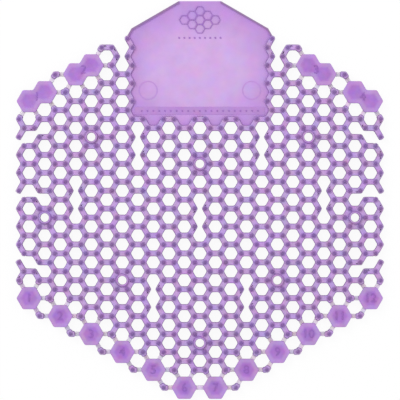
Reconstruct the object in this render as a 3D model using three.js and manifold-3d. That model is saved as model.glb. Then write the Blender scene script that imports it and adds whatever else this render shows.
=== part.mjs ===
// Urinal deodorizer screen, one flexible moulding.
// A flat net of hexagonal cells with a plain panel at its top edge, single tear-off tabs along
// its lower edges, double tear-off tabs along its upper edges, slots that let it bend, and a few
// filled cells with a round hole in a collar.
// Millimetres. X runs across the screen, Y up the screen and Z out of its shown face.

import * as THREE from 'three';
import { mergeVertices } from 'three/addons/utils/BufferGeometryUtils.js';
import Module from 'manifold-3d';

// Driving dimensions of the net
const CELL_SIDE = 5.0; // side of a cell, between the middles of its ribs
const CELL_RINGS = 11; // rings of cells round the middle one
const RIB_WIDTH = 2.8;
const RIB_THICKNESS = 3.0;
const FREE_RIB_TIP = 1.2; // how far a free rib runs past the net's last corner

// Driving dimensions of the panel
const PANEL_COLUMNS = 4; // columns of cells on each side of the middle one
const PANEL_LAST_ROW = 4.5; // lowest row of cells, counted up from the middle
const PANEL_THICKNESS = 2.0;
const PANEL_EDGE = 0.7; // from the net's line out to the free edge
const PANEL_RIM = 0.9; // full-height rim along the free edge

// Driving dimensions of the tear-off tabs
const TAB_EDGE = 1.0; // from the net's line out to the tab's edge
const BRIDGE_LENGTH = 1.5;
const BRIDGE_THICKNESS = 0.8;
const BRIDGE_START = 1.35; // from the tab's corner on the net to the start of the bridge

// Driving dimensions of the collared holes
const HOLE_RADIUS = 2.1;
const COLLAR_WALL = 1.0;
const COLLAR_RISE = 1.5; // above each face of the ribs
const COLLAR_SIDES = 8;

// Clearance by which a cutter runs past what it cuts
const OVERCUT = 1.0;

// Colour and finish of the soft plastic
const PLASTIC = { color: 0xb890d2, roughness: 0.42, metalness: 0 };

// Places of cells, as column and row from the middle of the net. Columns go right, rows go up,
// and odd columns have their rows halfway between those of even ones.
const EDGE_COLUMN = CELL_RINGS;
const edgeRow = (column) => CELL_RINGS - Math.abs(column) / 2;
const COLLARED_CELLS = bothSides([[0, 2], [0, -8], [7, 3.5], [10, -1], [5, -4.5]]);
const SLOTS = [
  [[0, 0], [0, -1], [0, -2]],
  [[4, 4], [4, 3], [4, 2]],
  [[8, 1], [8, 0], [8, -1]],
  [[3, -4.5], [3, -5.5], [3, -6.5]],
];
const TOP_SLOT = [
  [PANEL_COLUMNS + 1, edgeRow(PANEL_COLUMNS + 1)],
  [PANEL_COLUMNS + 1, edgeRow(PANEL_COLUMNS + 1) - 1],
];
const SIDE_SLOTS = [
  [[EDGE_COLUMN, 3.5], [EDGE_COLUMN - 1, 4]],
  [[EDGE_COLUMN, 0.5], [EDGE_COLUMN - 1, 0]],
  [[EDGE_COLUMN, -3.5], [EDGE_COLUMN - 1, -4]],
];
// Outer ribs left beside the side slots: from a corner of the net to the rib's free end
const FREE_RIBS = [
  [[EDGE_COLUMN + 1 / 3, 4], [EDGE_COLUMN + 2 / 3, 3.5]],
  [[EDGE_COLUMN + 1 / 3, 1], [EDGE_COLUMN + 2 / 3, 0.5]],
  [[EDGE_COLUMN + 1 / 3, -4], [EDGE_COLUMN + 2 / 3, -3.5]],
];
const DOUBLE_TABS = [
  [EDGE_COLUMN, EDGE_COLUMN - 1],
  [EDGE_COLUMN - 3, EDGE_COLUMN - 4],
];

// Worked out from the driving dimensions
const ROW = CELL_SIDE * Math.sqrt(3);
const COLUMN = CELL_SIDE * 1.5;
const HEIGHT = RIB_THICKNESS + 2 * COLLAR_RISE;
const RIB_BOTTOM = COLLAR_RISE;
const RIB_TOP = COLLAR_RISE + RIB_THICKNESS;
const TOP_EDGE = CELL_RINGS * ROW + PANEL_EDGE;
const BOTTOM_EDGE = -CELL_RINGS * ROW - TAB_EDGE;

// Corners of a cell anticlockwise from its right one, and the cell beyond each side. Side i runs
// from corner i to corner i + 1.
const CORNERS = [[2 / 3, 0], [1 / 3, 0.5], [-1 / 3, 0.5], [-2 / 3, 0], [-1 / 3, -0.5], [1 / 3, -0.5]];
const BEYOND = [[1, 0.5], [0, 1], [-1, 0.5], [-1, -0.5], [0, -1], [1, -0.5]];

function bothSides(cells) {
  return cells.flatMap(([column, row]) => (column === 0 ? [[column, row]] : [[column, row], [-column, row]]));
}

function place([column, row]) {
  return new THREE.Vector2(column * COLUMN, row * ROW);
}

function beyond([column, row], side) {
  const [across, up] = BEYOND[(side + 6) % 6];
  return [column + across, row + up];
}

// Every cell of the net and the ring of empty cells round it, sorted by what it holds
const KIND = new Map();

function mark(cells, kind, group) {
  bothSides(cells).forEach((cell) => KIND.set(String(cell), { kind, group: `${group} ${Math.sign(cell[0])}` }));
}

function kindOf(cell) {
  return KIND.get(String(cell)) ?? { kind: 'outside', group: 'none' };
}

function columnRows(column, lastRow) {
  const rows = [];
  for (let row = lastRow; row >= -lastRow; row -= 1) rows.push(row);
  return rows.map((row) => [column, row]);
}

for (let column = 0; column <= CELL_RINGS; column += 1) {
  columnRows(column, edgeRow(column)).forEach((cell) => {
    const inPanel = column <= PANEL_COLUMNS && cell[1] >= PANEL_LAST_ROW;
    mark([cell], inPanel ? 'panel' : 'open', inPanel ? 'panel' : String(cell));
  });
}
mark([[0, -CELL_RINGS]], 'removed', 'none');
COLLARED_CELLS.forEach((cell) => mark([cell], 'collared', String(cell)));
SLOTS.forEach((cells, slot) => mark(cells, 'open', `slot ${slot}`));
mark(TOP_SLOT, 'removed', 'none');
SIDE_SLOTS.forEach((cells) => mark(cells, 'removed', 'none'));
for (let column = 1; column <= CELL_RINGS; column += 2) {
  mark([[column, -edgeRow(column)]], 'tab', `tab ${column}`);
}
DOUBLE_TABS.forEach((columns, tab) => {
  columns.forEach((column) => mark([[column, edgeRow(column)]], 'tab', `double tab ${tab}`));
});

const isEmpty = (kind) => kind === 'outside' || kind === 'removed';

// Half the wall between two cells, or less than nothing where they run into each other
function halfWall(cell, other) {
  const here = kindOf(cell);
  const there = kindOf(other);
  if (isEmpty(here.kind) && isEmpty(there.kind)) return -OVERCUT;
  if (here.kind === 'open' && here.group === there.group) return -OVERCUT;
  const kinds = [here.kind, there.kind];
  if (kinds.includes('tab')) return TAB_EDGE;
  return kinds.includes('panel') && kinds.includes('outside') ? PANEL_EDGE : RIB_WIDTH / 2;
}

// The hexagon left in a cell when each side is moved in by its own distance
function cellOutline(cell, inset) {
  const middle = place(cell);
  const sides = BEYOND.map((unused, side) => {
    const normal = place(beyond(cell, side)).sub(middle).normalize();
    return { normal, distance: ROW / 2 - inset(cell, beyond(cell, side)) };
  });
  return sides.map((side, i) => {
    const before = sides[(i + 5) % 6];
    const slant = before.normal.dot(side.normal);
    const share = 1 - slant * slant;
    return middle.clone()
      .addScaledVector(before.normal, (before.distance - slant * side.distance) / share)
      .addScaledVector(side.normal, (side.distance - slant * before.distance) / share);
  });
}

const wasm = await Module();
wasm.setup();

function toSolid(geometry) {
  geometry.deleteAttribute('normal');
  geometry.deleteAttribute('uv');
  const merged = mergeVertices(geometry, 1e-5);
  const mesh = new wasm.Mesh({
    numProp: 3,
    vertProperties: new Float32Array(merged.attributes.position.array),
    triVerts: new Uint32Array(merged.index.array),
  });
  return new wasm.Manifold(mesh);
}

function toGeometry(solid) {
  const mesh = solid.getMesh();
  const geometry = new THREE.BufferGeometry();
  geometry.setAttribute('position', new THREE.BufferAttribute(mesh.vertProperties, 3));
  geometry.setIndex(new THREE.BufferAttribute(mesh.triVerts, 1));
  geometry.computeVertexNormals();
  return geometry;
}

function prism(outline, from, to) {
  const geometry = new THREE.ExtrudeGeometry(new THREE.Shape(outline), { depth: to - from, bevelEnabled: false });
  return toSolid(geometry.translate(0, 0, from));
}

function roundPost(centre, radius, from, to) {
  const geometry = new THREE.CylinderGeometry(radius, radius, to - from, COLLAR_SIDES);
  geometry.rotateX(Math.PI / 2);
  return toSolid(geometry.translate(centre.x, centre.y, (from + to) / 2));
}

// A bar along a line, square at its ends
function bar(start, end, width, from, to) {
  const along = end.clone().sub(start).normalize();
  const aside = new THREE.Vector2(-along.y, along.x).multiplyScalar(width / 2);
  const outline = [
    start.clone().sub(aside),
    end.clone().sub(aside),
    end.clone().add(aside),
    start.clone().add(aside),
  ];
  return prism(outline, from, to);
}

// Shrinks a straight-sided panel by a distance: the flat top and the two slopes of its free edge
function roofOutline(edge) {
  const flatEnd = 4 / 3;
  const slope = new THREE.Vector2(1, Math.sqrt(3)).normalize();
  const corner = place([flatEnd, CELL_RINGS]);
  const top = corner.y + edge;
  const reach = corner.dot(slope) + edge;
  const topX = (reach - top * slope.y) / slope.x;
  const sideX = (PANEL_COLUMNS + 2) * COLUMN;
  const sideY = (reach - sideX * slope.x) / slope.y;
  return [
    new THREE.Vector2(-sideX, 0),
    new THREE.Vector2(sideX, 0),
    new THREE.Vector2(sideX, sideY),
    new THREE.Vector2(topX, top),
    new THREE.Vector2(-topX, top),
    new THREE.Vector2(-sideX, sideY),
  ];
}

function netCells(rings) {
  const cells = [];
  for (let column = -rings; column <= rings; column += 1) {
    cells.push(...columnRows(column, rings - Math.abs(column) / 2));
  }
  return cells;
}

const overRoof = ([column, row]) => Math.abs(column) <= PANEL_COLUMNS && row >= CELL_RINGS + 1 - Math.abs(column) / 2;

// The net: a full plate up to the middles of the empty cells round it, less every empty cell
function net() {
  const reach = CELL_RINGS + 1;
  const half = reach / 2;
  const corners = [[reach, -half], [reach, half], [0, reach], [-reach, half], [-reach, -half], [0, -reach]];
  let plate = prism(corners.map(place), RIB_BOTTOM, RIB_TOP);
  for (const cell of netCells(reach)) {
    const kind = kindOf(cell).kind;
    if (kind === 'open' || (isEmpty(kind) && !overRoof(cell))) {
      plate = plate.subtract(prism(cellOutline(cell, halfWall), RIB_BOTTOM - OVERCUT, RIB_TOP + OVERCUT));
    }
  }
  return plate;
}

// What stands above the panel's flat top and slopes
function aboveRoof() {
  const tall = [[-PANEL_COLUMNS - 1, PANEL_LAST_ROW], [PANEL_COLUMNS + 1, PANEL_LAST_ROW]].map(place);
  const above = (CELL_RINGS + 2) * ROW;
  const outline = [
    tall[0],
    tall[1],
    new THREE.Vector2(tall[1].x, above),
    new THREE.Vector2(tall[0].x, above),
  ];
  const block = prism(outline, RIB_BOTTOM - OVERCUT, RIB_TOP + OVERCUT);
  return block.subtract(prism(roofOutline(PANEL_EDGE), RIB_BOTTOM - 2 * OVERCUT, RIB_TOP + 2 * OVERCUT));
}

// The space over the panel's face, inside its rim and inside the ribs round it
function panelPocket() {
  const from = RIB_BOTTOM + PANEL_THICKNESS;
  const to = RIB_TOP + OVERCUT;
  const inset = (cell, other) => {
    if (kindOf(other).kind === 'panel' || overRoof(other)) return -OVERCUT;
    return kindOf(other).kind === 'outside' ? PANEL_RIM - PANEL_EDGE : RIB_WIDTH / 2;
  };
  let pocket = null;
  for (const cell of netCells(CELL_RINGS + 1)) {
    if (kindOf(cell).kind === 'panel' || overRoof(cell)) {
      const part = prism(cellOutline(cell, inset), from, to);
      pocket = pocket ? pocket.add(part) : part;
    }
  }
  return pocket.intersect(prism(roofOutline(PANEL_EDGE - PANEL_RIM), from - OVERCUT, to + OVERCUT));
}

// Thins each rib that ends at a corner of a tab to a bridge that tears, flush with the back
function bridgeCutters() {
  const cutters = [];
  for (const cell of netCells(CELL_RINGS)) {
    if (kindOf(cell).kind !== 'tab') continue;
    CORNERS.forEach(([across, up], i) => {
      const sides = [beyond(cell, i - 1), beyond(cell, i)];
      const joined = sides.some((other) => kindOf(other).kind === 'tab');
      const gone = halfWall(...sides) < 0;
      if (joined || gone) return;
      const corner = place([cell[0] + across, cell[1] + up]);
      const outward = corner.clone().sub(place(cell)).normalize();
      const start = corner.clone().addScaledVector(outward, BRIDGE_START);
      const end = start.clone().addScaledVector(outward, BRIDGE_LENGTH);
      cutters.push(bar(start, end, RIB_WIDTH + OVERCUT, RIB_BOTTOM + BRIDGE_THICKNESS, RIB_TOP + OVERCUT));
    });
  }
  return cutters;
}

function screen() {
  let body = net().subtract(aboveRoof());
  for (const ends of FREE_RIBS) {
    for (const side of [-1, 1]) {
      const [start, corner] = ends.map(([column, row]) => place([side * column, row]));
      const tip = corner.clone().sub(start).setLength(CELL_SIDE + FREE_RIB_TIP).add(start);
      body = body.add(bar(start, tip, RIB_WIDTH, RIB_BOTTOM, RIB_TOP));
    }
  }
  body = body.subtract(panelPocket());
  bridgeCutters().forEach((cutter) => {
    body = body.subtract(cutter);
  });
  for (const cell of COLLARED_CELLS) {
    body = body.add(roundPost(place(cell), HOLE_RADIUS + COLLAR_WALL, 0, HEIGHT));
    body = body.subtract(roundPost(place(cell), HOLE_RADIUS, -OVERCUT, HEIGHT + OVERCUT));
  }
  const mesh = new THREE.Mesh(toGeometry(body), new THREE.MeshStandardMaterial(PLASTIC));
  mesh.name = 'screen';
  mesh.position.y = -(TOP_EDGE + BOTTOM_EDGE) / 2;
  return mesh;
}

const part = new THREE.Group();
part.add(screen());
export default part;
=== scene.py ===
"""Urinal deodorizer screen: the finish of the one soft moulding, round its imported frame.

Blender add-on laid out as one operator for each group of like features, and run as a script.
Sizes are in metres, in the frame's own axes: X across the screen, Y up it, Z out of its face.
"""

import math

import bmesh
import bpy
from bpy.props import FloatProperty, FloatVectorProperty, IntProperty, PointerProperty
from mathutils import Matrix, Vector


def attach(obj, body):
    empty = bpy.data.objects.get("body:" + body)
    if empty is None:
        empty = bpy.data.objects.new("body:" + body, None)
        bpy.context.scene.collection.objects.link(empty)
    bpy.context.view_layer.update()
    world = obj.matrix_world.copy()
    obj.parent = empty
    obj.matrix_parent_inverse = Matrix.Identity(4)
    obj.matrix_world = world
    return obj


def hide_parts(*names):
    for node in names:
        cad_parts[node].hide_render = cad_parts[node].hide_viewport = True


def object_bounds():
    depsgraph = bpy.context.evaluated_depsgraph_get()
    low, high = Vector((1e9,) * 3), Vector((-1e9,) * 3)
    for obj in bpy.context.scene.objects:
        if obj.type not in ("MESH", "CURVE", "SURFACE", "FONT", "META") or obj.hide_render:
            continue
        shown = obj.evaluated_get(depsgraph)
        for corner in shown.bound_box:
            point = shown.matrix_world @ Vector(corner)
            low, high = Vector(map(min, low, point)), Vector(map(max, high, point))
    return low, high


bl_info = {
    "name": "Urinal screen maker",
    "version": (1, 0, 0),
    "blender": (4, 5, 0),
    "location": "View3D > Sidebar > Screen",
    "description": "Makes the net, panel, tabs, collars and nubs of a urinal deodorizer screen",
    "category": "Add Mesh",
}

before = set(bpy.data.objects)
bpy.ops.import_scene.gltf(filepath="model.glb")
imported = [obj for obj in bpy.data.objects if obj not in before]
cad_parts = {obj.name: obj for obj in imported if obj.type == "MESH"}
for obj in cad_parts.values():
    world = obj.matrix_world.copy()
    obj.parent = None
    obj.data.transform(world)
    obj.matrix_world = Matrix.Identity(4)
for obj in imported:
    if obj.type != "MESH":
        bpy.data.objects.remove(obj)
CAD_LOW, CAD_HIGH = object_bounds()

MM = 0.001
NODE = "screen"
BODY = "root"

# How far a face inside the moulding keeps from one that it would lie in
CLEARANCE = 0.1 * MM
# How far a bridge reaches into what it joins, and the rounding of its edges
BRIDGE_LAP = 0.8 * MM
BRIDGE_ROUND = 0.15 * MM
# Part of a rib's width by which the slanted end of a free rib is cut back
SLANT_SHARE = 0.35
# Rounding at the two ends of a collar, and how far the filling reaches, in cell sides
COLLAR_TIP = 0.35 * MM
PLATE_SHARE = 0.8
# Radius of a pip's top in its foot's, and the step between the band's pips in the band's height
PIP_TAPER = 0.7
BAND_PIP_STEP = 0.72
COLLAR_STEPS = 32
NUB_STEPS = 9
HEXAGON = 6
SLOPE_STEPS = 2
# Where the painted pool of light on the panel is brightest above the net's middle, and how far that reaches
# across and up
PANEL_PAINTED_LIGHT_UP = 63 * MM
PANEL_PAINTED_LIGHT_REACH = (41 * MM, 32 * MM)

# Corners of a cell anticlockwise from its right one, in columns and rows, and the cell beyond
# each side. Side i runs from corner i to corner i + 1.
CORNERS = ((2 / 3, 0), (1 / 3, 0.5), (-1 / 3, 0.5), (-2 / 3, 0), (-1 / 3, -0.5), (1 / 3, -0.5))
BEYOND = ((1, 0.5), (0, 1), (-1, 0.5), (-1, -0.5), (0, -1), (1, -0.5))

# Cells of the net that aren't plain holes, as column and row from its middle, right half
COLLARED_CELLS = ((0, 2), (0, -8), (7, 3.5), (10, -1), (5, -4.5))
SLOTS = (
    ((0, 0), (0, -1), (0, -2)),
    ((4, 4), (4, 3), (4, 2)),
    ((8, 1), (8, 0), (8, -1)),
    ((3, -4.5), (3, -5.5), (3, -6.5)),
)
TOP_SLOT = ((5, 8.5), (5, 7.5))
SIDE_SLOTS = (
    ((11, 3.5), (10, 4)),
    ((11, 0.5), (10, 0)),
    ((11, -3.5), (10, -4)),
)
# Cells on the two sides of each free rib beside the side slots
FREE_RIBS = (((11, 3.5), (12, 4)), ((11, 0.5), (12, 1)), ((11, -3.5), (12, -4)))
DOUBLE_TABS = (((11, 5.5), (10, 6)), ((8, 7), (7, 7.5)))


def length(name, description, default_mm):
    """A size property, given in millimetres."""
    return FloatProperty(name=name, description=description, default=default_mm * MM, unit="LENGTH", min=0.0)


def colour(name, description, red, green, blue):
    """A colour property, given as display values from 0 to 255."""
    return FloatVectorProperty(
        name=name,
        description=description,
        default=[to_linear(level / 255) for level in (red, green, blue)] + [1.0],
        size=4,
        subtype="COLOR",
        min=0.0,
        max=1.0,
    )


def to_linear(level):
    """A display level from 0 to 1 as a linear one."""
    return level / 12.92 if level <= 0.04045 else ((level + 0.055) / 1.055) ** 2.4


class NetSizes(bpy.types.PropertyGroup):
    """Sizes of the net of cells."""

    rings: IntProperty(name="Rings", description="Rings of cells round the middle one", default=11, min=1)
    cell_side: length("Cell side", "Side of a cell, between the middles of its ribs", 5.0)
    rib_width: length("Rib width", "Width of a rib", 2.8)
    rib_thickness: length("Rib thickness", "Thickness of a rib", 3.0)
    corner_round: length("Corner round", "Rounding of the corners of the holes", 0.95)
    edge_round: length("Edge round", "Rounding along the edges of the ribs", 0.5)
    free_tip: length("Free tip", "From the last crossing of a free rib to its end", 1.2)
    nub_radius: length("Nub radius", "Radius of a nub half way up", 0.95)
    collar_wall: length("Collar wall", "Wall of the collar round a hole", 1.0)
    hole_radius: length("Hole radius", "Radius of the hole in a collar", 2.1)


class PanelSizes(bpy.types.PropertyGroup):
    """Sizes of the plain panel and of the marks on it."""

    columns: IntProperty(name="Columns", description="Columns of cells on each side of the middle", default=4)
    last_row: FloatProperty(name="Last row", description="Lowest row of cells under the panel", default=4.5)
    thickness: length("Thickness", "Thickness of the panel", 2.0)
    edge: length("Edge", "From the net's line out to the free edge", 0.7)
    rim: length("Rim", "Width of the raised rim along the free edge", 0.9)
    relief: length("Relief", "Height of the ornament above the panel", 0.4)
    ornament_up: length("Ornament place", "From the net's middle up to the ornament", 87.1)
    ornament_cell: length("Ornament cell", "Side of a hexagon of the ornament", 2.5)
    line: length("Line", "Width of a raised line", 0.5)
    pip_radius: length("Pip radius", "Radius of a pip", 0.5)
    pip_up: length("Pip row place", "From the net's middle up to the upper row of pips", 78.4)
    band_up: length("Band place", "From the net's middle up to the band", 43.1)
    band_width: length("Band width", "Width of the band across the panel", 63.0)
    band_height: length("Band height", "Height of the band up the panel", 3.9)
    pin_radius: length("Pin mark radius", "Radius of the round marks of the mould's pins", 4.6)
    pin_across: length("Pin mark place", "From the panel's middle out to a pin mark", 25.0)
    pin_up: length("Pin mark height", "From the net's middle up to the pin marks", 53.0)


class TabSizes(bpy.types.PropertyGroup):
    """Sizes of the tear-off tabs and their bridges."""

    edge: length("Edge", "From the net's line out to the tab's edge", 1.0)
    corner_round: length("Corner round", "Rounding of the corners of a tab", 0.6)
    edge_round: length("Edge round", "Rounding along the edges of a tab", 0.3)
    rim: length("Rim", "Width of the level rim round a tab's field", 0.5)
    slope: length("Slope", "Width of the slope from the rim down to the field", 1.7)
    field_depth: length("Field depth", "Depth of the field inside the rim", 0.26)
    bridge_start: length("Bridge start", "From the tab's corner to the start of the bridge", 1.35)
    bridge_length: length("Bridge length", "Length of the thin bridge", 1.5)
    bridge_width: length("Bridge width", "Width of the thin bridge", 2.1)
    bridge_thickness: length("Bridge thickness", "Thickness of the thin bridge", 0.8)
    digit_height: length("Digit height", "Height of the numbers on the tabs", 4.2)
    digit_relief: length("Digit relief", "Height of the numbers above the field", 0.3)


class ScreenColours(bpy.types.PropertyGroup):
    """Colours of the soft plastic: its own colours, with painted light where it is thin and painted shade
    where it is thick or turned away.
    """

    rib: colour("Rib", "Top of a rib", 192, 157, 216)
    # Painted shade: darker colour on the rounded edges and side walls of the ribs, collars and bridges,
    # standing in for their shade
    rib_edge_shade: colour("Rib edge", "Rounded edges and side walls of the ribs", 148, 108, 174)
    # Painted shade: dark nub tips, as less light passes through the thick plastic there
    nub: colour("Nub", "Tips of the nubs on the crossings", 128, 90, 157)
    collar: colour("Collar", "Collars round the holes", 180, 140, 204)
    filling: colour("Filling", "Filled cells round the collars", 184, 140, 209)
    # Painted light: the lighter middle of the panel, a pool of light passing through the plastic
    panel: colour("Panel", "Middle of the panel", 209, 172, 228)
    panel_side: colour("Panel side", "Sides and foot of the panel", 190, 144, 216)
    # Painted shade: darker colour of the thick rim along the panel's free edge
    panel_rim_shade: colour("Panel rim", "Rim along the panel's free edge", 146, 112, 160)
    line: colour("Line", "Raised lines of the ornament", 160, 112, 192)
    band: colour("Band", "Band across the panel", 184, 138, 210)
    tab: colour("Tab", "Field of a tab", 170, 117, 204)
    tab_rim: colour("Tab rim", "Rim of a tab", 184, 142, 210)
    # Painted shade on the rounded edge of a tab
    tab_edge_shade: colour("Tab edge", "Rounded edge of a tab", 140, 106, 164)
    digit: colour("Digit", "Numbers on the tabs", 154, 103, 190)
    # Painted light: near-white tops of the thin bridges, standing in for light passing through them and
    # lifting their shade
    bridge: colour("Bridge", "Thin bridges of the tabs", 255, 244, 255)
    floor: colour("Floor", "Floor that the screen lies on", 255, 255, 255)


class Lattice:
    """Where the cells lie and what each holds, worked out from the sizes."""

    def __init__(self, scene):
        self.net = scene.screen_net
        self.panel = scene.screen_panel
        self.tabs = scene.screen_tabs
        self.column = self.net.cell_side * 1.5
        self.row = self.net.cell_side * math.sqrt(3)
        self.middle_y = (self.tabs.edge - self.panel.edge) / 2
        self.low = (CAD_LOW.z + CAD_HIGH.z - self.net.rib_thickness) / 2
        self.high = self.low + self.net.rib_thickness
        self.kinds = {}
        self.sort_cells()

    def sort_cells(self):
        rings = self.net.rings
        for cell in self.cells(rings):
            in_panel = abs(cell[0]) <= self.panel.columns and cell[1] >= self.panel.last_row
            self.kinds[cell] = ("panel", 0) if in_panel else ("open", cell)
        self.kinds[(0, -rings)] = ("removed", 0)
        self.mark(((cell, ("collared", cell)) for cell in COLLARED_CELLS))
        for i, cells in enumerate(SLOTS):
            self.mark(((cell, ("open", f"slot {i}")) for cell in cells))
        for cells in (TOP_SLOT, *SIDE_SLOTS):
            self.mark(((cell, ("removed", 0)) for cell in cells))
        for column in range(1, rings + 1, 2):
            self.mark((((column, -self.edge_row(column)), ("tab", column)),))
        for i, cells in enumerate(DOUBLE_TABS):
            self.mark(((cell, ("tab", f"double {i}")) for cell in cells))

    def mark(self, kinds):
        for (column, row), (kind, group) in kinds:
            for side in (1, -1):
                self.kinds[(side * column, row)] = (kind, (group, side * bool(column)))

    def edge_row(self, column):
        return self.net.rings - abs(column) / 2

    def cells(self, rings):
        for column in range(-rings, rings + 1):
            last = rings - abs(column) / 2
            for i in range(int(2 * last) + 1):
                yield (column, last - i)

    def over_roof(self, cell):
        return abs(cell[0]) <= self.panel.columns and cell[1] >= self.edge_row(cell[0]) + 1

    def place(self, cell, z=0.0):
        return Vector((cell[0] * self.column, cell[1] * self.row + self.middle_y, z))

    def kind(self, cell):
        return self.kinds.get(cell, ("outside", 0))[0]

    def empty(self, cell):
        return self.kind(cell) in ("outside", "removed")

    def free_rib(self, cell, other):
        pair = {(abs(cell[0]), cell[1]), (abs(other[0]), other[1])}
        return any(pair == set(rib) for rib in FREE_RIBS)

    def run_together(self, cell, other):
        """Whether two empty cells have no rib between them."""
        if self.empty(cell) and self.empty(other):
            return not self.free_rib(cell, other)
        both_open = self.kind(cell) == self.kind(other) == "open"
        return both_open and self.kinds[cell] == self.kinds[other]

    def has_rib(self, cell, other):
        kinds = {self.kind(cell), self.kind(other)}
        if "tab" in kinds or kinds == {"panel"} or kinds == {"panel", "outside"}:
            return False
        return not self.run_together(cell, other)

    def sides(self, rings):
        """Each side of each cell once: the two cells, and its two corners."""
        for cell in self.cells(rings):
            for i, (across, up) in enumerate(BEYOND):
                other = (cell[0] + across, cell[1] + up)
                if cell < other:
                    yield cell, other, self.corner(cell, i), self.corner(cell, i + 1)

    def corner(self, cell, i):
        across, up = CORNERS[i % 6]
        return (cell[0] + across, cell[1] + up)

    def key(self, point):
        """A corner of the net as whole numbers, from a corner or from a place in the mesh."""
        return (round(3 * point[0]), round(2 * point[1]))

    def key_at(self, co):
        across = 3 * co.x / self.column
        up = 2 * (co.y - self.middle_y) / self.row
        near = (round(across), round(up))
        on_corner = abs(across - near[0]) < 0.05 and abs(up - near[1]) < 0.05
        return near if on_corner else None


def new_piece(name, bm, material):
    """A finished mesh as an object that rides on the frame and stands for the CAD solid."""
    mesh = bpy.data.meshes.new(name)
    bm.to_mesh(mesh)
    bm.free()
    mesh.materials.append(material)
    piece = bpy.data.objects.new(name, mesh)
    bpy.context.scene.collection.objects.link(piece)
    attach(piece, BODY)
    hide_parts(NODE)
    return piece


def shade_smooth(bm):
    for face in bm.faces:
        face.smooth = True


def add_cell(bm, lattice, cell, radius):
    """One hexagon with its corners left and right, and its face."""
    turn = Matrix.Rotation(math.pi / 2, 4, "Z")
    ring = bmesh.ops.create_circle(
        bm, cap_ends=True, segments=6, radius=radius, matrix=Matrix.Translation(lattice.place(cell)) @ turn
    )
    return ring["verts"][0].link_faces[0]


def bevel_edges(bm, edges, offset, segments, clamp=True):
    bmesh.ops.bevel(
        bm,
        geom=edges,
        offset=offset,
        offset_type="OFFSET",
        affect="EDGES",
        segments=segments,
        profile=0.5,
        material=-1,
        clamp_overlap=clamp,
    )


def upright(edge):
    a, b = (vert.co for vert in edge.verts)
    return abs(a.z - b.z) > 10 * (a.xy - b.xy).length


def rim_edges(bm):
    """Edges where a level face meets a wall."""
    rims = []
    for edge in bm.edges:
        if len(edge.link_faces) == 2:
            levels = sorted(abs(face.normal.z) for face in edge.link_faces)
            if levels[0] < 0.5 < 0.9 < levels[1]:
                rims.append(edge)
    return rims


def rib_parts(bm, middle, reach):
    """The strips, edges and corners of the one rib round a middle place."""
    strips = [face for face in bm.faces if (face.calc_center_median() - middle).length < reach]
    parts = set(strips)
    for face in strips:
        parts.update(face.edges, face.verts)
    return list(parts)


def cut_bridged_ribs(bm, lattice):
    """Cuts the rib that runs to each tab's corner off square, short of the tab."""
    tabs = lattice.tabs
    half = lattice.net.cell_side / 2
    for corner, direction in tab_corners(lattice):
        bmesh.ops.bisect_plane(
            bm,
            geom=rib_parts(bm, corner + direction * half, half * 0.6),
            dist=MM * 0.001,
            plane_co=corner + direction * (tabs.bridge_start + tabs.bridge_length),
            plane_no=direction,
            clear_inner=True,
        )


def square_free_ribs(bm, lattice):
    """Gives each free rib a square end, a little past its last crossing."""
    net = lattice.net
    back = net.rib_width * SLANT_SHARE
    for (column, row), (_, other_row) in FREE_RIBS:
        root_row = row + 0.5 if other_row > row else row - 0.5
        for side in (1, -1):
            root = lattice.place((side * (column + 1 / 3), root_row))
            end = lattice.place((side * (column + 2 / 3), row))
            direction = (end - root).normalized()
            cut = bmesh.ops.bisect_plane(
                bm,
                geom=rib_parts(bm, (root + end) / 2, net.cell_side * 0.3),
                dist=MM * 0.001,
                plane_co=end - direction * back,
                plane_no=direction,
                clear_outer=True,
            )
            edges = [part for part in cut["geom_cut"] if isinstance(part, bmesh.types.BMEdge)]
            grown = bmesh.ops.extrude_edge_only(bm, edges=edges)
            tips = [part for part in grown["geom"] if isinstance(part, bmesh.types.BMVert)]
            bmesh.ops.translate(bm, verts=tips, vec=direction * (back + net.free_tip))


def net_sheet(lattice):
    """The flat plan of the ribs, with a line of corners along the middle of each rib."""
    net = lattice.net
    bm = bmesh.new()
    for cell in lattice.cells(net.rings + 1):
        if not lattice.over_roof(cell):
            add_cell(bm, lattice, cell, net.cell_side)
    bmesh.ops.remove_doubles(bm, verts=bm.verts, dist=net.cell_side / 100)
    ribs = {}
    merged = set()
    for cell, other, start, end in lattice.sides(net.rings + 1):
        pair = frozenset((lattice.key(start), lattice.key(end)))
        ribs[pair] = lattice.has_rib(cell, other)
        if lattice.run_together(cell, other):
            merged.add(pair)
    loose = [edge for edge in bm.edges if edge_key(lattice, edge) in merged]
    loose = [edge for edge in loose if not splits_free_rib(lattice, edge)]
    bmesh.ops.dissolve_edges(bm, edges=loose, use_verts=False, use_face_split=False)
    holes = bm.faces[:]
    bmesh.ops.inset_individual(bm, faces=holes, thickness=net.rib_width / 2, use_even_offset=True)
    spare = set(holes)
    for face in bm.faces:
        pair = frozenset(key for key in (lattice.key_at(vert.co) for vert in face.verts) if key)
        if not ribs.get(pair, False):
            spare.add(face)
    bmesh.ops.delete(bm, geom=list(spare), context="FACES")
    cut_bridged_ribs(bm, lattice)
    square_free_ribs(bm, lattice)
    return bm


def edge_key(lattice, edge):
    return frozenset(lattice.key_at(vert.co) for vert in edge.verts)


def splits_free_rib(lattice, edge):
    """Whether an edge closes a side slot off from the outside, next to a free rib."""
    key = edge_key(lattice, edge)
    for (column, row), (other_column, other_row) in FREE_RIBS:
        for side in (1, -1):
            opening = (side * (column + 1), row - 0.5 if other_row > row else row + 0.5)
            for cell, other, start, end in cell_sides(lattice, (side * column, row)):
                if other == opening and frozenset((lattice.key(start), lattice.key(end))) == key:
                    return True
    return False


def cell_sides(lattice, cell):
    for i, (across, up) in enumerate(BEYOND):
        other = (cell[0] + across, cell[1] + up)
        yield cell, other, lattice.corner(cell, i), lattice.corner(cell, i + 1)


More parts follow.
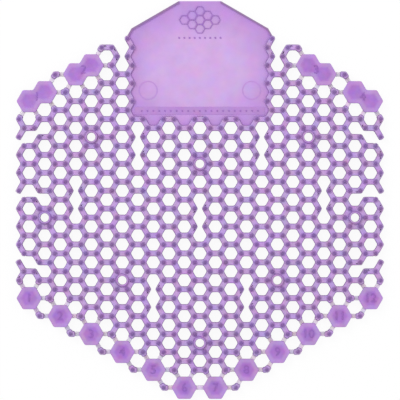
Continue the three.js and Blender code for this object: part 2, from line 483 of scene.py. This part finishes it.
def tab_corners(lattice):
    """Each corner of a tab that a rib runs to, with the direction in which that rib runs off."""
    for cell in list(lattice.kinds):
        if lattice.kind(cell) != "tab":
            continue
        for i in range(6):
            before = tuple(map(sum, zip(cell, BEYOND[(i + 5) % 6])))
            after = tuple(map(sum, zip(cell, BEYOND[i])))
            if lattice.has_rib(before, after):
                corner = lattice.place(lattice.corner(cell, i))
                yield corner, (corner - lattice.place(cell)).normalized()


def bridge_runs(lattice):
    """The start, direction and length of each bridge, with one where a rib joins two tabs."""
    tabs = lattice.tabs
    corners = list(tab_corners(lattice))
    for corner, direction in corners:
        start = corner + direction * tabs.bridge_start
        far = corner + direction * lattice.net.cell_side
        shared = any((far - other).length < CLEARANCE for other, _ in corners)
        if not shared:
            yield start, direction, tabs.bridge_length
        elif direction.x > 0:
            yield start, direction, lattice.net.cell_side - 2 * tabs.bridge_start


def nub_corners(lattice):
    """Each crossing or free end of the ribs that no tab takes up."""
    found = {}
    taken = set()
    for cell, other, start, end in lattice.sides(lattice.net.rings + 1):
        for corner in (start, end):
            if lattice.has_rib(cell, other):
                found[lattice.key(corner)] = lattice.place(corner)
            if "tab" in (lattice.kind(cell), lattice.kind(other)):
                taken.add(lattice.key(corner))
    return [place for key, place in sorted(found.items()) if key not in taken]


def lathe(profile, steps):
    """A closed ring or post turned round Z from points of radius and height."""
    bm = bmesh.new()
    verts = [bm.verts.new((radius, 0, z)) for radius, z in profile]
    edges = [bm.edges.new(pair) for pair in zip(verts, verts[1:])]
    if profile[0][0] > 0:
        edges.append(bm.edges.new((verts[-1], verts[0])))
    bmesh.ops.spin(
        bm, geom=verts + edges, cent=(0, 0, 0), axis=(0, 0, 1), angle=math.tau, steps=steps, use_merge=True
    )
    bmesh.ops.remove_doubles(bm, verts=bm.verts, dist=MM * 0.01)
    bmesh.ops.recalc_face_normals(bm, faces=bm.faces)
    return bm


def stamp_all(single, places):
    """Copies of one small shape, one at each place."""
    mesh = bpy.data.meshes.new("stamp")
    single.to_mesh(mesh)
    single.free()
    bm = bmesh.new()
    for place in places:
        mesh.transform(Matrix.Translation(place))
        bm.from_mesh(mesh)
        mesh.transform(Matrix.Translation(-place))
    bpy.data.meshes.remove(mesh)
    return bm


def join(bm, other):
    """Adds a second shape to the first one."""
    mesh = bpy.data.meshes.new("join")
    other.to_mesh(mesh)
    other.free()
    bm.from_mesh(mesh)
    bpy.data.meshes.remove(mesh)


def raise_sheet(bm, low, thickness):
    """Gives a flat sheet its thickness, from a height upwards."""
    sheet = bm.faces[:]
    bmesh.ops.recalc_face_normals(bm, faces=sheet)
    grown = bmesh.ops.extrude_face_region(bm, geom=sheet, use_keep_orig=True)
    raised = [part for part in grown["geom"] if isinstance(part, bmesh.types.BMVert)]
    bmesh.ops.translate(bm, verts=bm.verts, vec=(0, 0, low))
    bmesh.ops.translate(bm, verts=raised, vec=(0, 0, thickness))
    bmesh.ops.recalc_face_normals(bm, faces=bm.faces)
    return [face for face in bm.faces if face.normal.z > 0.9]


def panel_sheet(lattice):
    """The flat outline of the panel as one face: whole cells, cut off straight along the roof."""
    net = lattice.net
    panel = lattice.panel
    shoulder = (panel.columns + 1, lattice.edge_row(panel.columns + 1) + 1)
    bm = bmesh.new()
    for cell in lattice.cells(net.rings + 1):
        shoulder_here = (abs(cell[0]), cell[1]) == shoulder
        if lattice.kind(cell) == "panel" or lattice.over_roof(cell) or shoulder_here:
            add_cell(bm, lattice, cell, net.cell_side)
    bmesh.ops.remove_doubles(bm, verts=bm.verts, dist=net.cell_side / 100)
    inner = [edge for edge in bm.edges if len(edge.link_faces) == 2]
    bmesh.ops.dissolve_edges(bm, edges=inner, use_verts=False, use_face_split=False)
    roof_end = (4 / 3, net.rings)
    shoulder_end = (panel.columns + 1 / 3, shoulder[1])
    cuts = [(Vector((0, 1, 0)), roof_end)]
    for side in (1, -1):
        cuts.append((Vector((side * 0.5, math.sqrt(0.75), 0)), (side * roof_end[0], roof_end[1])))
        cuts.append((Vector((side * math.sqrt(0.75), 0.5, 0)), (side * shoulder_end[0], shoulder_end[1])))
    for normal, point in cuts:
        bmesh.ops.bisect_plane(
            bm,
            geom=bm.faces[:] + bm.edges[:] + bm.verts[:],
            dist=MM * 0.001,
            plane_co=lattice.place(point) + normal * panel.edge,
            plane_no=normal,
            clear_outer=True,
        )
    return bm


def tab_sheet(lattice):
    """The flat outline of each tab as one face."""
    bm = bmesh.new()
    for cell in list(lattice.kinds):
        if lattice.kind(cell) == "tab":
            add_cell(bm, lattice, cell, lattice.net.cell_side)
    bmesh.ops.remove_doubles(bm, verts=bm.verts, dist=lattice.net.cell_side / 100)
    inner = [edge for edge in bm.edges if len(edge.link_faces) == 2]
    bmesh.ops.dissolve_edges(bm, edges=inner, use_verts=False, use_face_split=False)
    tabs = bm.faces[:]
    bmesh.ops.inset_individual(bm, faces=tabs, thickness=-lattice.tabs.edge, use_even_offset=True)
    kept = set(tabs)
    bmesh.ops.delete(bm, geom=[face for face in bm.faces if face not in kept], context="FACES")
    return bm


def number_mesh(text, height, thickness):
    """A number as a raised flat shape, with its middle at the origin."""
    curve = bpy.data.curves.new("number", "FONT")
    curve.body = text
    curve.size = height * 1.4
    curve.align_x = "CENTER"
    curve.align_y = "CENTER"
    curve.resolution_u = 3
    curve.extrude = thickness / 2
    holder = bpy.data.objects.new("number", curve)
    mesh = bpy.data.meshes.new_from_object(holder)
    bpy.data.objects.remove(holder)
    bpy.data.curves.remove(curve)
    return mesh


def moulded(name, colours, low, high, **finish):
    """The soft plastic, with its face, wall and edge colours by depth below its faces; these colours paint
    light and shade, darker walls, edges and thick parts, lighter thin parts.
    """
    material = bpy.data.materials.new(name)
    material.use_nodes = True
    nodes = material.node_tree.nodes
    links = material.node_tree.links
    shader = nodes["Principled BSDF"]
    shader.inputs["Roughness"].default_value = 0.36
    shader.inputs["IOR"].default_value = 1.48
    shader.inputs["Specular IOR Level"].default_value = 0.45
    place = nodes.new("ShaderNodeTexCoord")
    skin = nodes.new("ShaderNodeGroup")
    skin.name = "Skin"
    skin.node_tree = skin_group()
    for socket, value in zip(("Face colour", "Wall colour", "Edge colour"), colours):
        skin.inputs[socket].default_value = value
    skin.inputs["Low"].default_value = low
    skin.inputs["High"].default_value = high
    skin.inputs["Wall depth"].default_value = finish["wall_depth"]
    skin.inputs["Edge depth"].default_value = finish.get("edge_depth", 2 * finish["wall_depth"])
    skin.inputs["Cloud size"].default_value = finish.get("cloud_size", 240.0)
    skin.inputs["Cloud depth"].default_value = finish.get("cloud_depth", 0.5)
    bump = nodes.new("ShaderNodeBump")
    bump.inputs["Strength"].default_value = 0.1
    bump.inputs["Distance"].default_value = 0.1 * MM
    links.new(place.outputs["Object"], skin.inputs["Place"])
    links.new(skin.outputs["Colour"], shader.inputs["Base Color"])
    links.new(skin.outputs["Grain"], bump.inputs["Height"])
    links.new(bump.outputs["Normal"], shader.inputs["Normal"])
    return material


def paint_light_pool(material, colour, middle_y, reach):
    """Paints a soft pool of light: turns the wall colour of a plastic to a lighter one, softly, round a
    middle place.
    """
    nodes = material.node_tree.nodes
    links = material.node_tree.links
    skin = nodes["Skin"]
    across, up = reach
    centre = nodes.new("ShaderNodeMapping")
    centre.inputs["Scale"].default_value = (1 / across, 1 / up, 0)
    centre.inputs["Location"].default_value = (0, -middle_y / up, 0)
    fall = nodes.new("ShaderNodeTexGradient")
    fall.gradient_type = "SPHERICAL"
    soft = nodes.new("ShaderNodeMapRange")
    soft.interpolation_type = "SMOOTHSTEP"
    soft.inputs["From Max"].default_value = 0.6
    mix = nodes.new("ShaderNodeMix")
    mix.data_type = "RGBA"
    mix.inputs["A"].default_value = skin.inputs["Wall colour"].default_value
    mix.inputs["B"].default_value = colour
    links.new(nodes["Texture Coordinate"].outputs["Object"], centre.inputs["Vector"])
    links.new(centre.outputs[0], fall.inputs["Vector"])
    links.new(fall.outputs["Fac"], soft.inputs["Value"])
    links.new(soft.outputs["Result"], mix.inputs["Factor"])
    links.new(mix.outputs["Result"], skin.inputs["Wall colour"])


def skin_group():
    """Shader group: colour by depth in the section, which paints light and shade on the plastic, with soft
    clouds of tint and a fine grain.
    """
    name = "Moulded skin"
    if name in bpy.data.node_groups:
        return bpy.data.node_groups[name]
    group = bpy.data.node_groups.new(name, "ShaderNodeTree")
    face = group.interface
    face.new_socket("Place", in_out="INPUT", socket_type="NodeSocketVector")
    for tint in ("Face colour", "Wall colour", "Edge colour"):
        face.new_socket(tint, in_out="INPUT", socket_type="NodeSocketColor")
    for value in ("Low", "High", "Wall depth", "Edge depth", "Cloud size", "Cloud depth"):
        face.new_socket(value, in_out="INPUT", socket_type="NodeSocketFloat")
    face.new_socket("Colour", in_out="OUTPUT", socket_type="NodeSocketColor")
    face.new_socket("Grain", in_out="OUTPUT", socket_type="NodeSocketFloat")
    nodes = group.nodes
    links = group.links
    given = nodes.new("NodeGroupInput").outputs
    outputs = nodes.new("NodeGroupOutput")

    def maths(operation, first, second):
        node = nodes.new("ShaderNodeMath")
        node.operation = operation
        links.new(first, node.inputs[0])
        links.new(second, node.inputs[1])
        return node.outputs[0]

    def vector(operation, first, second):
        node = nodes.new("ShaderNodeVectorMath")
        node.operation = operation
        links.new(first, node.inputs[0])
        if operation == "SCALE":
            links.new(second, node.inputs["Scale"])
        elif isinstance(second, float):
            node.inputs[1].default_value = (second, second, second)
        else:
            links.new(second, node.inputs[1])
        return node.outputs[0]

    def fade(depth, start, end, first, second):
        reach = nodes.new("ShaderNodeMapRange")
        reach.interpolation_type = "SMOOTHSTEP"
        links.new(depth, reach.inputs["Value"])
        if start is not None:
            links.new(start, reach.inputs["From Min"])
        links.new(end, reach.inputs["From Max"])
        mix = nodes.new("ShaderNodeMix")
        mix.data_type = "RGBA"
        links.new(reach.outputs["Result"], mix.inputs["Factor"])
        links.new(first, mix.inputs["A"])
        links.new(second, mix.inputs["B"])
        return mix.outputs["Result"]

    parts = nodes.new("ShaderNodeSeparateXYZ")
    links.new(given["Place"], parts.inputs[0])
    below_top = maths("SUBTRACT", given["High"], parts.outputs["Z"])
    above_foot = maths("SUBTRACT", parts.outputs["Z"], given["Low"])
    depth = maths("MINIMUM", below_top, above_foot)
    # Colour by depth: deeper below the top or above the foot it turns to the wall colour, then the edge
    # colour; pieces paint their shade on walls and edges this way
    colour = fade(depth, None, given["Wall depth"], given["Face colour"], given["Wall colour"])
    colour = fade(depth, given["Wall depth"], given["Edge depth"], colour, given["Edge colour"])
    cloud = nodes.new("ShaderNodeTexNoise")
    cloud.inputs["Detail"].default_value = 2.0
    links.new(given["Place"], cloud.inputs["Vector"])
    links.new(given["Cloud size"], cloud.inputs["Scale"])
    clouds = vector("SCALE", vector("SUBTRACT", cloud.outputs["Color"], 0.5), given["Cloud depth"])
    links.new(vector("MULTIPLY", colour, vector("ADD", clouds, 1.0)), outputs.inputs["Colour"])
    grain = nodes.new("ShaderNodeTexNoise")
    grain.inputs["Scale"].default_value = 1500.0
    links.new(given["Place"], grain.inputs["Vector"])
    links.new(grain.outputs["Fac"], outputs.inputs["Grain"])
    return group


class DEODORIZER_OT_net(bpy.types.Operator):
    """Make the net of ribs round its hexagonal holes"""

    bl_idname = "deodorizer.net"
    bl_label = "Net"

    def execute(self, context):
        lattice = Lattice(context.scene)
        net = lattice.net
        bm = net_sheet(lattice)
        raise_sheet(bm, lattice.low, net.rib_thickness)
        bevel_edges(bm, [edge for edge in bm.edges if upright(edge)], net.corner_round, 3)
        bm.normal_update()
        bevel_edges(bm, rim_edges(bm), net.edge_round, 4, clamp=False)
        shade_smooth(bm)
        tint = context.scene.screen_colours
        # Rib tops in their own colour, with painted shade on the rounded edges and walls
        colours = (tint.rib, tint.rib_edge_shade, tint.rib_edge_shade)
        plastic = moulded("Plastic of the net", colours, lattice.low, lattice.high, wall_depth=0.09 * MM)
        new_piece("net", bm, plastic)
        return {"FINISHED"}


class DEODORIZER_OT_panel(bpy.types.Operator):
    """Make the plain panel with its raised rim"""

    bl_idname = "deodorizer.panel"
    bl_label = "Panel"

    def execute(self, context):
        lattice = Lattice(context.scene)
        panel = lattice.panel
        bm = panel_sheet(lattice)
        plate = bm.faces[:]
        bmesh.ops.inset_individual(bm, faces=plate, thickness=panel.rim, use_even_offset=True)
        inner = set(plate)
        rim_places = []
        for face in bm.faces:
            on_net = [vert for vert in face.verts if lattice.key_at(vert.co)]
            if face not in inner and len(on_net) < 2:
                rim_places.append(face.calc_center_median().xy)
        rim = []
        for face in raise_sheet(bm, lattice.low + CLEARANCE / 2, panel.thickness - CLEARANCE / 2):
            place = face.calc_center_median().xy
            if any((place - rim_place).length < CLEARANCE for rim_place in rim_places):
                rim.append(face)
        grown = bmesh.ops.extrude_face_region(bm, geom=rim)
        raised = [part for part in grown["geom"] if isinstance(part, bmesh.types.BMVert)]
        rim_rise = lattice.net.rib_thickness - panel.thickness - CLEARANCE
        bmesh.ops.translate(bm, verts=raised, vec=(0, 0, rim_rise))
        tint = context.scene.screen_colours
        # Painted shade on the raised rim, the panel's own colour on its sides and foot
        plastic = moulded(
            "Plastic of the panel",
            (tint.panel_rim_shade, tint.panel_side, tint.panel_side),
            lattice.low,
            lattice.high,
            wall_depth=rim_rise * 0.9,
            cloud_size=160.0,
            cloud_depth=0.3,
        )
        # Painted pool of light in the middle of the panel, over its wall colour
        paint_light_pool(plastic, tint.panel, PANEL_PAINTED_LIGHT_UP, PANEL_PAINTED_LIGHT_REACH)
        new_piece("panel", bm, plastic)
        return {"FINISHED"}


class DEODORIZER_OT_relief(bpy.types.Operator):
    """Make the ornament, the band and the pin marks on the panel"""

    bl_idname = "deodorizer.relief"
    bl_label = "Relief"

    def execute(self, context):
        lattice = Lattice(context.scene)
        panel = lattice.panel
        tint = context.scene.screen_colours
        foot = lattice.low + panel.thickness - CLEARANCE
        level = lattice.low + panel.thickness
        band_top = level + panel.relief / 3
        top = level + panel.relief

        band = bmesh.new()
        size = Matrix.Diagonal((panel.band_width, panel.band_height, band_top - foot, 1))
        middle = Vector((0, panel.band_up, (foot + band_top) / 2))
        bmesh.ops.create_cube(band, size=1, matrix=Matrix.Translation(middle) @ size)
        bevel_edges(band, band.edges[:], CLEARANCE, 1)
        colours = (tint.band, tint.band, tint.band)
        new_piece("band", band, self.plastic("Plastic of the band", colours, foot, band_top))

        lines = self.honeycomb(lattice)
        raise_sheet(lines, foot, top - foot)
        tip = panel.pip_radius * PIP_TAPER
        pip = lathe(((0, foot), (panel.pip_radius, foot), (tip, top), (0, top)), HEXAGON)
        pips = [Vector((i * panel.ornament_cell, panel.pip_up, 0)) for i in range(-4, 5)]
        step = panel.band_height * BAND_PIP_STEP
        count = int(panel.band_width / step / 2 - 0.5)
        pips += [Vector((i * step, panel.band_up, 0)) for i in range(-count, count + 1)]
        join(lines, stamp_all(pip, pips))
        colours = (tint.line, tint.line, tint.line)
        new_piece("ornament", lines, self.plastic("Plastic of the ornament", colours, foot, top))

        outer = panel.pin_radius
        inner = outer - panel.line
        edge = level + CLEARANCE
        ring = lathe(((inner, foot), (outer, foot), (outer, edge), (inner, edge)), COLLAR_STEPS)
        places = [Vector((side * panel.pin_across, panel.pin_up, 0)) for side in (1, -1)]
        colours = (tint.panel_side, tint.panel_side, tint.panel_side)
        marks = stamp_all(ring, places)
        new_piece("pin_marks", marks, self.plastic("Plastic of the pin marks", colours, foot, level))
        return {"FINISHED"}

    def honeycomb(self, lattice):
        """A flat patch of hexagons, kept as lines."""
        panel = lattice.panel
        scale = panel.ornament_cell / lattice.net.cell_side
        bm = bmesh.new()
        for cell in lattice.cells(2):
            if abs(cell[0]) / 2 + abs(cell[1]) <= 1:
                add_cell(bm, lattice, cell, lattice.net.cell_side)
        bmesh.ops.translate(bm, verts=bm.verts, vec=(0, -lattice.middle_y, 0))
        bmesh.ops.scale(bm, verts=bm.verts, vec=(scale, scale, 1))
        bmesh.ops.translate(bm, verts=bm.verts, vec=(0, panel.ornament_up, 0))
        bmesh.ops.remove_doubles(bm, verts=bm.verts, dist=CLEARANCE)
        cells = bm.faces[:]
        bmesh.ops.inset_individual(bm, faces=cells, thickness=panel.line / 2, use_even_offset=True)
        bmesh.ops.delete(bm, geom=cells, context="FACES")
        return bm

    def plastic(self, name, colours, low, high):
        return moulded(name, colours, low, high, wall_depth=0.2 * MM, cloud_depth=0.3)


class DEODORIZER_OT_tabs(bpy.types.Operator):
    """Make the single and double tear-off tabs"""

    bl_idname = "deodorizer.tabs"
    bl_label = "Tabs"

    def execute(self, context):
        lattice = Lattice(context.scene)
        tabs = lattice.tabs
        bm = tab_sheet(lattice)
        raise_sheet(bm, lattice.low, lattice.net.rib_thickness)
        fields = [face for face in bm.faces if abs(face.normal.z) > 0.99]
        border = 2 * tabs.edge_round + tabs.rim
        bmesh.ops.inset_individual(bm, faces=fields, thickness=border, use_even_offset=True)
        for i in range(SLOPE_STEPS):
            bmesh.ops.inset_individual(
                bm,
                faces=fields,
                thickness=tabs.slope / SLOPE_STEPS,
                depth=-tabs.field_depth / SLOPE_STEPS,
                use_even_offset=True,
            )
        bm.normal_update()
        bevel_edges(bm, [edge for edge in bm.edges if upright(edge)], tabs.corner_round, 3)
        bm.normal_update()
        bevel_edges(bm, rim_edges(bm), tabs.edge_round, 3, clamp=False)
        shade_smooth(bm)
        tint = context.scene.screen_colours
        # Rim and field in their own colours, with painted shade on the rounded edge
        plastic = moulded(
            "Plastic of the tabs",
            (tint.tab_rim, tint.tab, tint.tab_edge_shade),
            lattice.low,
            lattice.high,
            wall_depth=tabs.field_depth,
            edge_depth=tabs.field_depth * 1.3,
        )
        new_piece("tabs", bm, plastic)
        return {"FINISHED"}


class DEODORIZER_OT_numbers(bpy.types.Operator):
    """Make the raised numbers on the tabs, counted from the left"""

    bl_idname = "deodorizer.numbers"
    bl_label = "Numbers"

    def execute(self, context):
        lattice = Lattice(context.scene)
        tabs = lattice.tabs
        thickness = tabs.digit_relief + CLEARANCE
        middle_z = lattice.high - tabs.field_depth - CLEARANCE + thickness / 2
        bm = bmesh.new()
        for places in (self.single_tabs(lattice), self.double_tabs(lattice)):
            for i, place in enumerate(sorted(places, key=lambda place: place.x)):
                mesh = number_mesh(str(i + 1), tabs.digit_height, thickness)
                mesh.transform(Matrix.Translation((place.x, place.y, middle_z)))
                bm.from_mesh(mesh)
                bpy.data.meshes.remove(mesh)
        bmesh.ops.remove_doubles(bm, verts=bm.verts, dist=MM * 0.001)
        bmesh.ops.recalc_face_normals(bm, faces=bm.faces)
        tint = context.scene.screen_colours
        colours = (tint.digit, tint.digit, tint.digit)
        low = middle_z - thickness
        plastic = moulded("Plastic of the numbers", colours, low, middle_z + thickness, wall_depth=thickness)
        new_piece("numbers", bm, plastic)
        return {"FINISHED"}

    def single_tabs(self, lattice):
        for cell in lattice.kinds:
            if lattice.kind(cell) == "tab" and cell[1] < 0:
                yield lattice.place(cell)

    def double_tabs(self, lattice):
        for first, second in DOUBLE_TABS:
            for side in (1, -1):
                ends = [lattice.place((side * column, row)) for column, row in (first, second)]
                yield (ends[0] + ends[1]) / 2


class DEODORIZER_OT_bridges(bpy.types.Operator):
    """Make the thin bridges that tear when a tab is pulled off"""

    bl_idname = "deodorizer.bridges"
    bl_label = "Bridges"

    def execute(self, context):
        lattice = Lattice(context.scene)
        tabs = lattice.tabs
        bm = bmesh.new()
        for start, direction, run in bridge_runs(lattice):
            middle = start + direction * (run / 2)
            middle.z = lattice.low + tabs.bridge_thickness / 2
            turn = Matrix.Rotation(math.atan2(direction.y, direction.x), 4, "Z")
            reach = run + 2 * BRIDGE_LAP
            size = Matrix.Diagonal((reach, tabs.bridge_width, tabs.bridge_thickness - CLEARANCE, 1))
            bmesh.ops.create_cube(bm, size=1, matrix=Matrix.Translation(middle) @ turn @ size)
        bevel_edges(bm, bm.edges[:], BRIDGE_ROUND, 2)
        shade_smooth(bm)
        # Painted light on the bridges' tops, painted shade on their edges
        tint = context.scene.screen_colours
        colours = (tint.bridge, tint.rib_edge_shade, tint.rib_edge_shade)
        top = lattice.low + tabs.bridge_thickness
        plastic = moulded("Plastic of the bridges", colours, lattice.low, top, wall_depth=0.2 * MM)
        new_piece("bridges", bm, plastic)
        return {"FINISHED"}


class DEODORIZER_OT_collars(bpy.types.Operator):
    """Make the filled cells and the collars round their holes"""

    bl_idname = "deodorizer.collars"
    bl_label = "Collars"

    def execute(self, context):
        lattice = Lattice(context.scene)
        net = lattice.net
        cells = sorted(cell for cell in lattice.kinds if lattice.kind(cell) == "collared")
        places = [lattice.place(cell) for cell in cells]
        inner = net.hole_radius
        outer = inner + net.collar_wall
        tip = COLLAR_TIP
        collar = lathe(
            (
                (inner, CAD_LOW.z + tip),
                (inner + tip / 2, CAD_LOW.z),
                (outer - tip, CAD_LOW.z),
                (outer, CAD_LOW.z + tip),
                (outer, CAD_HIGH.z - tip),
                (outer - tip, CAD_HIGH.z),
                (inner + tip / 2, CAD_HIGH.z),
                (inner, CAD_HIGH.z - tip),
            ),
            COLLAR_STEPS,
        )
        bm = stamp_all(collar, places)
        shade_smooth(bm)
        tint = context.scene.screen_colours
        # Collar tops in their own colour, with painted shade on the rounded ends and walls
        colours = (tint.collar, tint.rib_edge_shade, tint.rib_edge_shade)
        plastic = moulded("Plastic of the collars", colours, CAD_LOW.z, CAD_HIGH.z, wall_depth=tip)
        new_piece("collars", bm, plastic)
        plate_inner = inner + tip
        plate_outer = net.cell_side * PLATE_SHARE
        low = lattice.low + CLEARANCE / 2
        high = lattice.high - CLEARANCE / 2
        plate = lathe(
            ((plate_inner, low), (plate_outer, low), (plate_outer, high), (plate_inner, high)),
            COLLAR_STEPS,
        )
        bm = stamp_all(plate, places)
        colours = (tint.filling, tint.filling, tint.filling)
        plastic = moulded("Plastic of the filled cells", colours, low, high, wall_depth=tip)
        new_piece("filled_cells", bm, plastic)
        return {"FINISHED"}


class DEODORIZER_OT_nubs(bpy.types.Operator):
    """Make the nub on each crossing of the ribs, on both faces"""

    bl_idname = "deodorizer.nubs"
    bl_label = "Nubs"

    def execute(self, context):
        lattice = Lattice(context.scene)
        radius = lattice.net.nub_radius
        middle = (CAD_LOW.z + CAD_HIGH.z) / 2
        reach = (CAD_HIGH.z - CAD_LOW.z) / 2
        rib = lattice.net.rib_thickness / 2
        half = (
            (0, reach),
            (0.72 * radius, reach - 0.25 * MM),
            (radius, reach - 0.8 * MM),
            (1.5 * radius, rib),
            (radius, rib - MM),
        )
        profile = [(across, middle + up) for across, up in half]
        profile += [(across, middle - up) for across, up in reversed(half)]
        bm = stamp_all(lathe(profile, NUB_STEPS), nub_corners(lattice))
        shade_smooth(bm)
        tint = context.scene.screen_colours
        # Painted shade on the nub tips, fading into the rib colour below
        colours = (tint.nub, tint.rib, tint.rib)
        plastic = moulded("Plastic of the nubs", colours, CAD_LOW.z, CAD_HIGH.z, wall_depth=reach - rib)
        new_piece("nubs", bm, plastic)
        return {"FINISHED"}


class DEODORIZER_OT_stage(bpy.types.Operator):
    """Set the pale floor, the soft light and the camera"""

    bl_idname = "deodorizer.stage"
    bl_label = "Stage"

    def execute(self, context):
        scene = context.scene
        scene.view_settings.view_transform = "Standard"
        self.make_floor(scene.screen_colours.floor)
        self.make_lights(scene)
        self.make_camera(scene)
        return {"FINISHED"}

    def make_floor(self, colour):
        bm = bmesh.new()
        bmesh.ops.create_grid(bm, x_segments=1, y_segments=1, size=3.0)
        mesh = bpy.data.meshes.new("floor")
        bm.to_mesh(mesh)
        bm.free()
        floor = bpy.data.objects.new("floor", mesh)
        bpy.context.scene.collection.objects.link(floor)
        material = bpy.data.materials.new("Pale floor")
        material.use_nodes = True
        nodes = material.node_tree.nodes
        links = material.node_tree.links
        nodes.clear()
        output = nodes.new("ShaderNodeOutputMaterial")
        matt = nodes.new("ShaderNodeBsdfDiffuse")
        matt.inputs["Color"].default_value = colour
        glow = nodes.new("ShaderNodeEmission")
        glow.inputs["Color"].default_value = colour
        mix = nodes.new("ShaderNodeMixShader")
        path = nodes.new("ShaderNodeLightPath")
        seen = None
        for ray in ("Is Camera Ray", "Is Glossy Ray", "Is Transmission Ray"):
            if seen is None:
                seen = path.outputs[ray]
                continue
            either = nodes.new("ShaderNodeMath")
            either.operation = "MAXIMUM"
            links.new(seen, either.inputs[0])
            links.new(path.outputs[ray], either.inputs[1])
            seen = either.outputs[0]
        share = nodes.new("ShaderNodeMath")
        share.operation = "MULTIPLY"
        share.inputs[1].default_value = 0.92
        links.new(seen, share.inputs[0])
        links.new(share.outputs[0], mix.inputs[0])
        links.new(matt.outputs[0], mix.inputs[1])
        links.new(glow.outputs[0], mix.inputs[2])
        links.new(mix.outputs[0], output.inputs[0])
        mesh.materials.append(material)

    def make_lights(self, scene):
        world = bpy.data.worlds.new("Soft sky")
        world.use_nodes = True
        world.node_tree.nodes["Background"].inputs["Color"].default_value = (1, 1, 1, 1)
        world.node_tree.nodes["Background"].inputs["Strength"].default_value = 0.68
        scene.world = world
        for name, place, size, power in (
            ("key", (-0.5, 0.5, 0.9), 0.6, 4.4),
            ("fill", (0.7, -0.2, 0.8), 0.8, 1.8),
        ):
            data = bpy.data.lights.new(name, "AREA")
            data.size = size
            data.energy = power
            lamp = bpy.data.objects.new(name, data)
            lamp.location = place
            lamp.rotation_euler = (-Vector(place)).to_track_quat("-Z", "Y").to_euler()
            scene.collection.objects.link(lamp)

    def make_camera(self, scene):
        data = bpy.data.cameras.new("camera")
        data.lens = 300
        data.sensor_width = 36
        data.clip_end = 20
        photo_width = 193.1 * MM
        middle = Vector((0.08 * MM, -0.01 * MM, CAD_HIGH.z))
        distance = photo_width * data.lens / data.sensor_width
        camera = bpy.data.objects.new("camera", data)
        camera.location = middle + Vector((0, 0, distance))
        scene.collection.objects.link(camera)
        scene.camera = camera


OPERATORS = (
    DEODORIZER_OT_net,
    DEODORIZER_OT_panel,
    DEODORIZER_OT_relief,
    DEODORIZER_OT_tabs,
    DEODORIZER_OT_numbers,
    DEODORIZER_OT_bridges,
    DEODORIZER_OT_collars,
    DEODORIZER_OT_nubs,
    DEODORIZER_OT_stage,
)


class DEODORIZER_PT_maker(bpy.types.Panel):
    """The pieces of the screen, in the order in which they are made"""

    bl_idname = "DEODORIZER_PT_maker"
    bl_label = "Urinal screen"
    bl_space_type = "VIEW_3D"
    bl_region_type = "UI"
    bl_category = "Screen"

    def draw(self, context):
        for operator in OPERATORS:
            self.layout.operator(operator.bl_idname)


CLASSES = (NetSizes, PanelSizes, TabSizes, ScreenColours, *OPERATORS, DEODORIZER_PT_maker)
GROUPS = {
    "screen_net": NetSizes,
    "screen_panel": PanelSizes,
    "screen_tabs": TabSizes,
    "screen_colours": ScreenColours,
}


def register():
    for item in CLASSES:
        bpy.utils.register_class(item)
    for name, group in GROUPS.items():
        setattr(bpy.types.Scene, name, PointerProperty(type=group))


def unregister():
    for name in GROUPS:
        delattr(bpy.types.Scene, name)
    for item in reversed(CLASSES):
        bpy.utils.unregister_class(item)


def main():
    register()
    bpy.ops.deodorizer.net()
    bpy.ops.deodorizer.panel()
    bpy.ops.deodorizer.relief()
    bpy.ops.deodorizer.tabs()
    bpy.ops.deodorizer.numbers()
    bpy.ops.deodorizer.bridges()
    bpy.ops.deodorizer.collars()
    bpy.ops.deodorizer.nubs()
    bpy.ops.deodorizer.stage()


if __name__ == "__main__":
    main()
